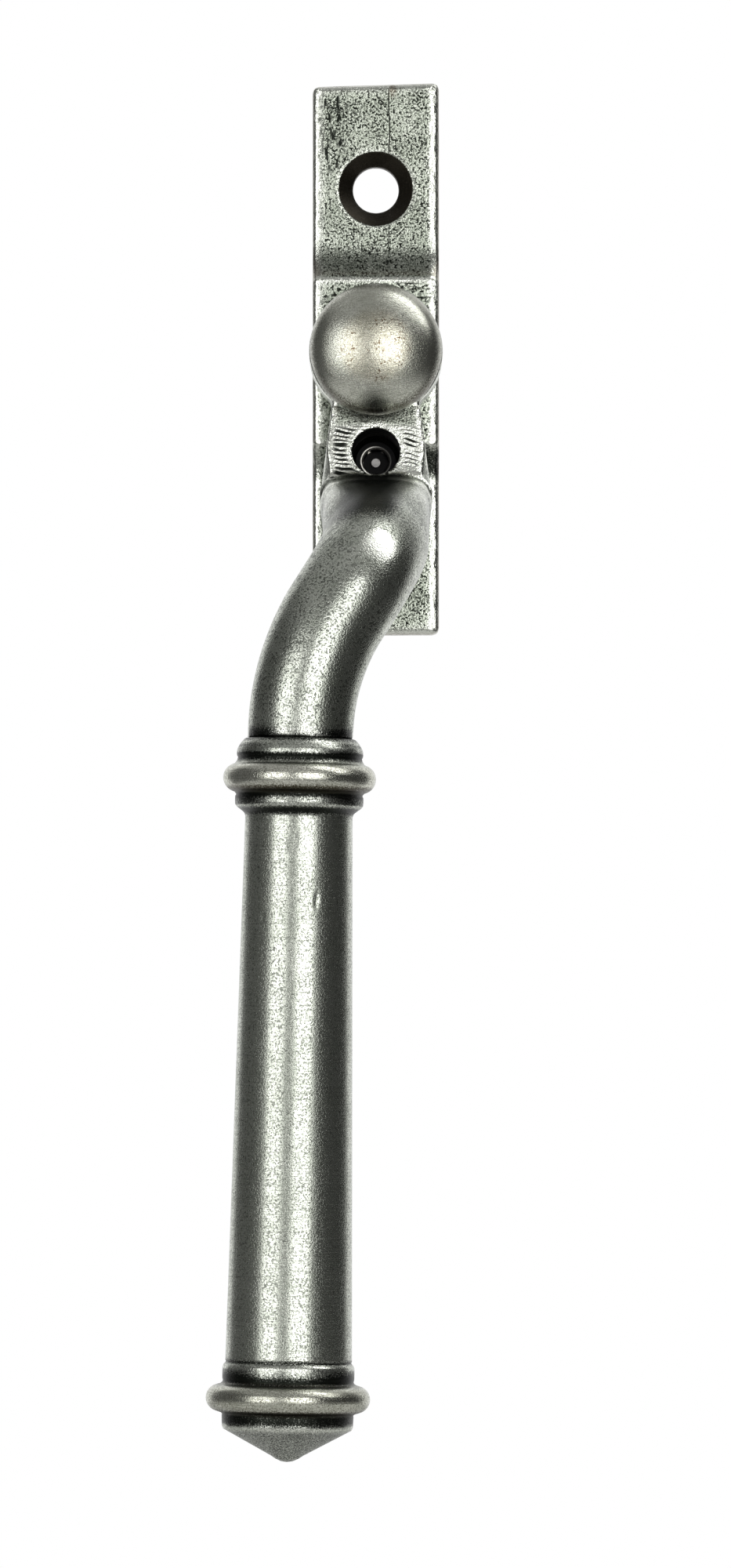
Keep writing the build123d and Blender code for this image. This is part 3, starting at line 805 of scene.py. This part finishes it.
def square_crook(points):
    """Squares the round bar from the flat as far as the elbow."""
    side, depth, height = in_mm(points)
    out = np.clip(depth - FIRST_CORNER[1], 0, None)
    slope = (FIRST_CORNER[2] - ELBOW_CORNER[2]) / (ELBOW_CORNER[1] - FIRST_CORNER[1])
    up = height - FIRST_CORNER[2] + out * slope
    radius = np.maximum(np.hypot(side, up), 0.001)
    power = 2 + 3.2 * falling(depth, 17.0, 30.0)
    squared = (np.abs(side) / radius) ** power + (np.abs(up) / radius) ** power
    push = BAR_RADIUS * (squared ** (-1 / power) - 1)
    push *= falling(radius, BAR_RADIUS, BAR_RADIUS + 2.6)
    push *= rising(up, 0.0, 1.0) * rising(in_front_of_flat(points), -0.9, -0.1)
    points[:, 0] += side / radius * push * MM
    points[:, 2] += up / radius * push * MM
    return points


def true_bore(points):
    """Brings the lip of the lock's bore and the wall behind it back to a true circle."""
    bore = from_lock_line(points)
    front = in_front_of_flat(points)
    lip = np.hypot(bore - LOCK_BORE_RADIUS, front) < 0.2
    wall = (np.abs(bore - LOCK_BORE_RADIUS) < 0.3) & (front > -0.45) & (front < -0.1)
    out = np.array(lock_out())
    centre = np.array(place(*LOCK_MOUTH)) + np.outer(front * MM, out)
    outwards = (points - centre) / (np.maximum(bore, 0.001) * MM)[:, None]
    trued = centre + outwards * (LOCK_BORE_RADIUS * MM)
    trued -= np.outer(np.where(lip, front, 0) * MM, out)
    return np.where((lip | wall)[:, None], trued, points)


def soften_hollows(piece, rounds):
    """Rounds out the sharp inner corners, as the forging's own fillets do."""
    points = points_of(piece)
    smooth = averaged(piece, points, rounds)
    hollow = np.einsum("ij,ij->i", smooth - points, normals_of(piece)) / MM
    share = rising(hollow, 0.02, 0.08)[:, None]
    set_points(piece, points + (smooth - points) * share)


def thread_outline():
    """The lock thread's outline with its wall, as radius and height."""
    pitch = (LOCK_BORE_DEPTH - 2 * THREAD_START) / THREAD_CRESTS
    wall = LOCK_BORE_RADIUS + 0.3
    groove = LOCK_BORE_RADIUS + 0.2
    outline = [(wall, 0.0)]
    for i in range(THREAD_CRESTS):
        outline.append((groove, -pitch * i - 0.05))
        outline.append((LOCK_BORE_RADIUS - 0.02, -pitch * (i + 0.5)))
    bottom = -pitch * THREAD_CRESTS
    return [*outline, (groove, bottom), (wall, bottom - 0.05), (wall, 0.0)]


def cap_outline():
    """The cap's outline from its bore round the skirt to the crown, as radius and depth."""
    foot = CAP_FOOT_DEPTH
    bottom = foot + CAP_BORE_DEPTH
    outline = [(0.0, bottom), (CAP_BORE_RADIUS, bottom), (CAP_BORE_RADIUS, foot)]
    outline.append((CAP_NECK_RADIUS - 0.05, foot))
    wide, deep = CAP_HOLLOW
    for i in range(9):
        turn = math.radians(10 * i)
        outline.append((CAP_NECK_RADIUS + wide * math.sin(turn), foot + 1.45 - deep * math.cos(turn)))
    meet = math.radians(CAP_CROWN_TURN)
    crown = CAP_CROWN_ROUND
    shoulder = (CAP_RADIUS - crown * math.sin(meet)) / (1 - math.sin(meet))
    start = CAP_RIM_DEPTH + CAP_LAND
    for i in range(13):
        turn = math.pi / 2 + (meet - math.pi / 2) * i / 12
        across = CAP_RADIUS - shoulder + shoulder * math.sin(turn)
        outline.append((across, start + shoulder * math.cos(turn)))
    top = start + shoulder * math.cos(meet) + crown * (1 - math.cos(meet))
    for i in range(1, 17):
        turn = meet * (1 - i / 16)
        outline.append((crown * math.sin(turn), top - crown * (1 - math.cos(turn))))
    return outline


def bead(centre, reach, round_off, angle):
    """A bead's outline, as radius and distance down."""
    steps = 12
    found = []
    for i in range(steps + 1):
        turn = math.radians(-angle + 2 * angle * i / steps)
        found.append((reach - round_off + round_off * math.cos(turn), centre + round_off * math.sin(turn)))
    return found


def grip_outline():
    """The grip's outline from its bore round to its tip, as radius and distance down."""
    return [
        (0.0, 24.6), (4.05, 24.6), (4.05, 0.0), (6.6, 0.0), (6.78, 0.06), (7.25, 0.55), (7.62, 1.2),
        (7.72, 1.55), (7.74, 1.95), (7.7, 2.2), (7.6, 2.35), (7.68, 2.7), (7.95, 3.1),
        *bead(COLLAR_BEAD, 9.37, 1.75, 68),
        (7.95, 6.6), (7.75, 6.85), (7.78, 7.0), (7.86, 7.15), (7.87, 7.7), (7.83, 8.15), (7.6, 8.45),
        (7.2, 8.72), (6.95, 8.92), (6.7, 9.15), (6.58, 9.5), (6.58, 9.9), (7.73, 75.3), (7.74, 76.0),
        (7.66, 76.15), (7.74, 76.3), (7.95, 76.5), (8.06, 76.8), (8.08, 77.4), (8.07, 78.2),
        (8.0, 78.45), (8.05, 78.65), (8.3, 78.85),
        *bead(POMMEL_BEAD, 10.05, 1.65, 76),
        (8.2, 82.4), (8.03, 82.55), (8.06, 82.75), (8.02, 84.05), (7.85, 84.38), (2.0, 87.55),
        (1.4, 87.95), (0.7, 88.25), (0.0, 88.35),
    ]


def knock(piece, down, side, turn, length, width, depth):
    """Knocks the grip's front inwards about a place, longer one way than the other."""
    points = points_of(piece)
    spot = place(*COLLAR_TOP) + grip_down() * (down * MM)
    spot += Vector((side * MM, -math.sqrt(GRIP_FRONT**2 - side**2) * MM, 0))
    slant = np.array(Vector((math.sin(math.radians(turn)), 0, math.cos(math.radians(turn)))))
    away = (points - np.array(spot)) / MM
    run = away @ slant
    across = np.linalg.norm(away - np.outer(run, slant), axis=1)
    fall = np.clip(1 - (run / length) ** 2 - (across / width) ** 2, 0, 1)
    set_points(piece, points - normals_of(piece) * (fall * depth * MM)[:, None])


def cut_round_hole(piece, centre, direction, radius, length):
    """Cuts a round hole into a piece, centred on a place."""
    bpy.ops.object.select_all(action="DESELECT")
    bpy.ops.mesh.primitive_cylinder_add(vertices=48, radius=radius * MM, depth=length * MM, location=centre)
    cutter = bpy.context.object
    cutter.rotation_euler = Vector(direction).to_track_quat("Z", "Y").to_euler()
    apply_place(cutter)
    apply_modifier(piece, "BOOLEAN", object=cutter, operation="DIFFERENCE", solver="EXACT")
    bpy.data.objects.remove(cutter)


class HANDLE_OT_plate(Operator):
    """Dress the fixing plate: filed bevels, uneven patina, blackened screw holes and painted shade in its
    coves
    """

    bl_idname = "handle.plate"
    bl_label = "Fixing Plate"

    def execute(self, context):
        settings = context.scene.handle_settings
        piece = copied_node("fixing_plate", "plate_forged")
        forge(piece, settings, settings.mesh_size)
        set_points(piece, dress_plate(points_of(piece)))
        side, depth, height = in_mm(points_of(piece))
        hole = np.hypot(side, np.abs(height) - SCREW_HEIGHT)
        front = rising(depth, -0.2, 0.3)
        black = falling(hole, COUNTERSINK_RADIUS - 0.05, COUNTERSINK_RADIUS + 0.12) * front
        # Painted shade: the coves above and below the boss are painted dark where they mirror dark
        # surroundings and lie in the crank's shade, the lower cove darker to the right
        upper_cove = 0.46 * falling(np.abs(height - 12.3), 1.2, 2.9)
        lower_cove = 0.78 * falling(np.abs(height + 13.3), 0.9, 2.8)
        lower_cove *= 0.45 + 0.55 * rising(side, -4.0, 4.0)
        rim = rising(plate_front(height) - depth, 0.3, 0.7) * rising(hole, 5.0, 6.0)
        from_side = PLATE_HALF_WIDTH - np.abs(side) + 0.15 * np.sin(height * 2.1) * np.sin(height * 0.7)
        reach = 1.0 + 0.3 * rising(side, 0.0, 1.0)
        band = rising(from_side, 0.1, 0.4) * falling(from_side, reach - 0.4, reach) * (1 - rim)
        blackening_and_shade = np.maximum(black, np.maximum(upper_cove, lower_cove) * front)
        # Bright edges are kept out of the lower cove's painted shade
        edge_height = 0.05 + 0.09 * falling(hole, 5.6, 7.0) + 0.3 * lower_cove
        wear_masks(piece, 10, edge_height, 0.07, band * 0.7 * (1 - lower_cove), blackening_and_shade)
        set_mask(piece, "rim", np.maximum(rim, 0.35 * falling(hole, 4.5, 4.8) * front))
        boss_corner = rising(side, 2.8, 4.2) * rising(height, 6.8, 7.4)
        set_mask(piece, "filed", boss_corner * falling(height, 9.4, 9.9))
        set_mask(piece, "gouged", falling(side, -4.2, -2.8) * rising(height, 22.0, 25.0))
        finish_piece(piece, plate_material(settings), "plate", "pewter_steel", "fixing_plate")
        return {"FINISHED"}


class HANDLE_OT_crank(Operator):
    """Dress the crank arm: forged surface, softened edges, file marks, the thread of the lock, painted shade
    in the crook and a painted highlight on the elbow
    """

    bl_idname = "handle.crank"
    bl_label = "Crank Arm"

    def execute(self, context):
        settings = context.scene.handle_settings
        piece = copied_node("crank_arm", "crank_forged")
        middle = place(*LOCK_MOUTH) - lock_out() * (LOCK_BORE_DEPTH / 2 * MM)
        cut_round_hole(piece, middle, lock_out(), LOCK_BORE_RADIUS + 0.25, LOCK_BORE_DEPTH - 1.0)
        forge(piece, settings, settings.mesh_size * 1.25)
        set_points(piece, square_crook(points_of(piece)))
        soften_hollows(piece, 40)
        set_points(piece, true_bore(points_of(piece)))
        points = points_of(piece)
        front = in_front_of_flat(points)
        bore = from_lock_line(points)
        side, depth, height = in_mm(points)
        # The lock's bore is painted black
        black = falling(bore, 3.06, 3.26) * falling(front, -0.2, 0.05) * 1.1
        # Painted shade: the crook below the flat is painted dark where it mirrors the crank's own dark
        # underside
        crook = rising(front, 0.0, 0.5) * falling(depth, 33.0, 39.5)
        crook *= falling(np.abs(side + 0.9 - 0.2 * (height + 20)), 1.6, 6.4)
        crook *= rising(height, -26.3, -22.0)
        # The foot above the collar: blackening in the joint, with painted shade that is stronger at its
        # sides, away from the highlights
        foot = falling(-down_the_grip(points), 0.4, 2.4) * rising(depth, 38.0, 40.0)
        foot *= 0.5 + 0.4 * rising(np.abs(side - COLLAR_TOP[0]), 2.0, 4.5)
        # Painted highlight: the elbow is painted as brighter, cleaner metal where the top light's reflection
        # falls
        spot = falling(np.linalg.norm(away_from(points, ELBOW_PAINTED_HIGHLIGHT), axis=1) / MM, 1.2, 3.4)
        blackening_and_shade = np.maximum(np.maximum(black, crook), foot)
        wear_masks(piece, 10, 0.05, 0.07, spot, blackening_and_shade)
        flat = rising(front, -0.35, -0.1) * falling(front, 0.15, 0.4)
        near = falling(np.abs(height + 13.0), 2.9, 4.2)
        set_mask(piece, "filed", flat * near * rising(bore, 3.1, 3.4))
        brushed = rising(front, 0.2, 1.0) * rising(height, -30, -24)
        set_mask(piece, "brushed", brushed * rising(np.abs(side), 2.5, 4.5))
        finish_piece(piece, crank_material(settings), "lever", "pewter_steel", "crank_arm")
        self.thread()
        return {"FINISHED"}

    def thread(self):
        """The thread in the wall of the lock's bore, painted near black with a painted glint on its crests.
        """
        turn = lock_out().to_track_quat("Z", "Y").to_euler()
        spot = place(*LOCK_MOUTH) - lock_out() * (THREAD_START * MM)
        piece = spun_piece("lock_thread", thread_outline(), 64, 0.2 * MM, turn, spot)
        crest = (LOCK_BORE_RADIUS - 0.02) * MM
        piece.data.materials.append(lock_with_painted_glint("Lock thread", crest, 0.00012, (0.16, 0.16, 0.16), 1.0))
        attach(piece, "lever")


class HANDLE_OT_cap(Operator):
    """Spin the domed cap: a satin dome with an undercut skirt and its blind bore, painted darker under and
    towards its rim
    """

    bl_idname = "handle.cap"
    bl_label = "Domed Cap"

    def execute(self, context):
        settings = context.scene.handle_settings
        piece = spun_piece("cap_turned", cap_outline(), 144, 0.3 * MM, (math.radians(90), 0, 0))
        make_uneven(piece, 0.003, 2, 0.000025)
        side, depth, height = in_mm(points_of(piece))
        # Painted shade under the rim, and the dome painted darker towards its rim, most at the bottom, where
        # it mirrors dark surroundings
        under = falling(depth, CAP_RIM_DEPTH - 0.6, CAP_RIM_DEPTH - 0.1)
        radius = np.hypot(side, height)
        limb = rising(radius, 6.4, 8.2) * (0.45 + 0.3 * rising(-height, 0.0, 6.0))
        wear_masks(piece, 6, 0.5, 0.5, 0.0, np.maximum(under, limb))
        crown = falling(radius, 3.2, 5.6) * rising(depth, CAP_RIM_DEPTH, CAP_RIM_DEPTH + 1)
        set_mask(piece, "crown", crown)
        finish_piece(piece, cap_material(settings), "lever", "pewter_steel", "domed_cap")
        return {"FINISHED"}


class HANDLE_OT_grip(Operator):
    """Spin the grip: collar, tapering hold, pommel and cone, with the cross pin's hole and its knocks,
    blackened in its grooves and painted with shade under its beads and rings
    """

    bl_idname = "handle.grip"
    bl_label = "Grip"

    def execute(self, context):
        settings = context.scene.handle_settings
        outline = [(radius, -down) for radius, down in grip_outline()]
        turn = (0, math.radians(GRIP_LEAN), 0)
        piece = spun_piece("grip_turned", outline, settings.grip_steps, 0.35 * MM, turn, place(*COLLAR_TOP))
        pin = place(*COLLAR_TOP) + grip_down() * (CROSS_PIN_DOWN * MM) + Vector((0, 6.0 * MM, 0))
        cut_round_hole(piece, pin, (0, 1, 0), CROSS_PIN_RADIUS, 6.0)
        for values in KNOCKS:
            knock(piece, *values)
        points = points_of(piece)
        along = down_the_grip(points)
        # Blackening in the grooves and painted shade under the beads and rings, down the grip
        grip_blackening_and_shade = np.interp(along, *zip(*BLACKENED_AND_SHADED))
        lean = math.sin(math.radians(GRIP_LEAN))
        off_axis = np.abs((points[:, 0] - COLLAR_TOP[0] * MM) / MM + lean * along)
        # Painted shade: the rings are darker at their sides, away from the front
        grip_blackening_and_shade += 0.3 * falling(nearest(along, RINGS), 0.5, 0.8) * rising(off_axis, 3.0, 6.0)
        wear_masks(piece, 8, 0.3, 0.3, 0.0, grip_blackening_and_shade)
        set_mask(piece, "bead", falling(nearest(along, (COLLAR_BEAD, POMMEL_BEAD)), 1.0, 2.2))
        finish_piece(piece, grip_material(settings), "lever", "pewter_steel", "grip")
        return {"FINISHED"}


def wear(material, *nodes):
    """Gives CAD nodes their material."""
    for node in nodes:
        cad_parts[node].data.materials.clear()
        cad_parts[node].data.materials.append(material)


class HANDLE_OT_fittings(Operator):
    """Give the spindle, bearing parts, pins and lock their metals and the washer its nylon"""

    bl_idname = "handle.fittings"
    bl_label = "Fittings"

    def execute(self, context):
        zinc = small_metal("Zinc plate", (0.6, 0.6, 0.58), (0.36, 0.36, 0.34), 0.3)
        wear(zinc, "spindle", "index_disc", "grip_pin")
        spring = small_metal("Spring steel", (0.2, 0.2, 0.21), (0.06, 0.06, 0.065), 0.35)
        wear(spring, "index_spring", "retaining_ring", "cap_washer")
        wear(small_metal("Sintered bronze", (0.62, 0.44, 0.24), (0.3, 0.19, 0.09), 0.4), "pivot_bush")
        # The lock screw and the pin are painted near black, with a painted glint on the screw's socket rim,
        # and the pin grey in its middle
        wear(lock_with_painted_glint("Lock screw", 0.00178, 0.0002, (0.85, 0.83, 0.76), 0.12), "lock_screw")
        wear(lock_with_painted_glint("Lock pin", 0.0, 0.0012, (0.36, 0.35, 0.34), 1.0), "locking_pin")
        wear(nylon_material(), "nylon_washer")
        return {"FINISHED"}


def softbox(name, azimuth, elevation, width, height, level):
    """A soft box a metre from the handle, at an azimuth from the camera's side to the right."""
    light = bpy.data.lights.new(name, "AREA")
    light.shape = "RECTANGLE"
    light.size = width
    light.size_y = height
    light.energy = level * math.pi * width * height
    lamp = bpy.data.objects.new(name, light)
    bpy.context.scene.collection.objects.link(lamp)
    turn, rise = math.radians(azimuth), math.radians(elevation)
    across = math.cos(rise)
    lamp.location = (across * math.sin(turn), -across * math.cos(turn), math.sin(rise) + HANDLE_MIDDLE)
    direction = Vector((0, 0, HANDLE_MIDDLE)) - lamp.location
    lamp.rotation_euler = direction.to_track_quat("-Z", "Y").to_euler()
    lamp.visible_camera = False


class HANDLE_OT_stage(Operator):
    """Set the pale floor, the soft boxes, the tent of cloth and the camera"""

    bl_idname = "handle.stage"
    bl_label = "Stage"

    def execute(self, context):
        world = bpy.data.worlds.new("White room")
        context.scene.world = world
        world.use_nodes = True
        background = world.node_tree.nodes["Background"].inputs
        background["Color"].default_value = (1, 1, 1, 1)
        background["Strength"].default_value = 1.0
        for name, values in SOFT_BOXES.items():
            softbox(name, *values)
        self.floor(context.scene.handle_settings)
        self.tent()
        camera = bpy.data.objects.new("camera", bpy.data.cameras.new("camera"))
        context.scene.collection.objects.link(camera)
        camera.location = CAMERA_PLACE
        camera.rotation_euler = (math.radians(CAMERA_TURN), 0, 0)
        camera.data.lens = CAMERA_LENS_MM
        context.scene.camera = camera
        context.scene.view_settings.view_transform = "Standard"
        return {"FINISHED"}

    def floor(self, settings):
        """A round pale floor that fades into the white room."""
        bpy.ops.object.select_all(action="DESELECT")
        middle = (0, 0, FLOOR_HEIGHT)
        bpy.ops.mesh.primitive_circle_add(vertices=96, radius=FLOOR_RADIUS, fill_type="NGON", location=middle)
        floor = bpy.context.object
        floor.name = "floor"
        apply_place(floor)
        made = Finish("Pale floor")
        far = made.vector("LENGTH", made.vector("MULTIPLY", made.where, (1, 1, 0)), output=1)
        speckle = made.ramp(made.noise(900.0, 3.0), 0.3, 0.7, 0.97, 1.0)
        tint = made.blend(speckle, (0, 0, 0, 1), solid(settings.floor_colour))
        fade = made.ramp(far, 0.1, 0.2, 1, 0)
        made.show({"Base Color": tint, "Alpha": fade, "Roughness": 0.8})
        floor.data.materials.append(made.material)

    def tent(self):
        """A tent of cloth from pale to dark round the handle, open behind, which the metal mirrors."""
        bpy.ops.object.select_all(action="DESELECT")
        bpy.ops.mesh.primitive_uv_sphere_add(
            segments=72, ring_count=36, radius=TENT_RADIUS, location=(0, 0, 0)
        )
        tent = bpy.context.object
        tent.name = "studio_tent"
        bpy.ops.object.mode_set(mode="EDIT")
        bpy.ops.mesh.select_all(action="DESELECT")
        mesh = bmesh.from_edit_mesh(tent.data)
        for face in mesh.faces:
            centre = face.calc_center_median()
            azimuth = math.degrees(math.atan2(centre.x, -centre.y))
            elevation = math.degrees(math.atan2(centre.z, math.hypot(centre.x, centre.y)))
            face.select_set((azimuth < -135 or azimuth > 132) and -40 < elevation < 50)
        bmesh.update_edit_mesh(tent.data)
        bpy.ops.mesh.delete(type="FACE")
        bpy.ops.object.mode_set(mode="OBJECT")
        tent.data.materials.append(self.cloth())
        tent.visible_camera = False

    def cloth(self):
        """Cloth that shines as it hangs: pale low down and overhead, dark at the sides."""
        made = Finish("Tent cloth")
        side, back, up = made.split(made.where)
        azimuth = made.step("ARCTAN2", side, made.times(back, -1.0))
        away = made.step("SQRT", made.plus(made.times(side, side), made.times(back, back)))
        rise = made.step("ARCTAN2", up, away)

        def shaded(angle, low, high, first, last):
            return made.ramp(angle, math.radians(low), math.radians(high), first, last)

        wall = shaded(azimuth, -62, -50, TENT_LEFT, TENT_MIDDLE)
        wall = made.times(wall, shaded(azimuth, 28, 40, 1.0, TENT_RIGHT / TENT_MIDDLE))
        low = made.times(shaded(rise, -20, -45, 0.0, TENT_LOW), shaded(rise, -46, -62, 1.0, 0.15))
        shade = made.larger(wall, made.larger(low, shaded(rise, 30, 48, 0.0, TENT_HIGH)))
        shade = made.times(shade, made.ramp(made.noise(60.0, 3.0), 0.3, 0.7, 0.95, 1.05))
        glow = made.blend(shade, (0, 0, 0, 1), (1, 1, 1, 1))
        made.show({"Base Color": (0.02, 0.02, 0.02, 1), "Roughness": 0.9})
        made.show({"Emission Color": glow, "Emission Strength": 1.0})
        return made.material


class HANDLE_PT_panel(Panel):
    """Lists the handle's pieces and settings"""

    bl_idname = "HANDLE_PT_panel"
    bl_label = "Espagnolette Handle"
    bl_space_type = "VIEW_3D"
    bl_region_type = "UI"
    bl_category = "Handle"

    def draw(self, context):
        settings = context.scene.handle_settings
        for name in HandleSettings.__annotations__:
            self.layout.prop(settings, name)
        for operator in OPERATORS:
            self.layout.operator(operator.bl_idname)


OPERATORS = (
    HANDLE_OT_plate, HANDLE_OT_crank, HANDLE_OT_cap, HANDLE_OT_grip, HANDLE_OT_fittings, HANDLE_OT_stage
)
CLASSES = (HandleSettings, *OPERATORS, HANDLE_PT_panel)


def register():
    for cls in CLASSES:
        bpy.utils.register_class(cls)
    bpy.types.Scene.handle_settings = PointerProperty(type=HandleSettings)


def unregister():
    del bpy.types.Scene.handle_settings
    for cls in reversed(CLASSES):
        bpy.utils.unregister_class(cls)


def main():
    register()
    for operator in OPERATORS:
        group, name = operator.bl_idname.split(".")
        getattr(getattr(bpy.ops, group), name)()


if __name__ == "__main__":
    main()
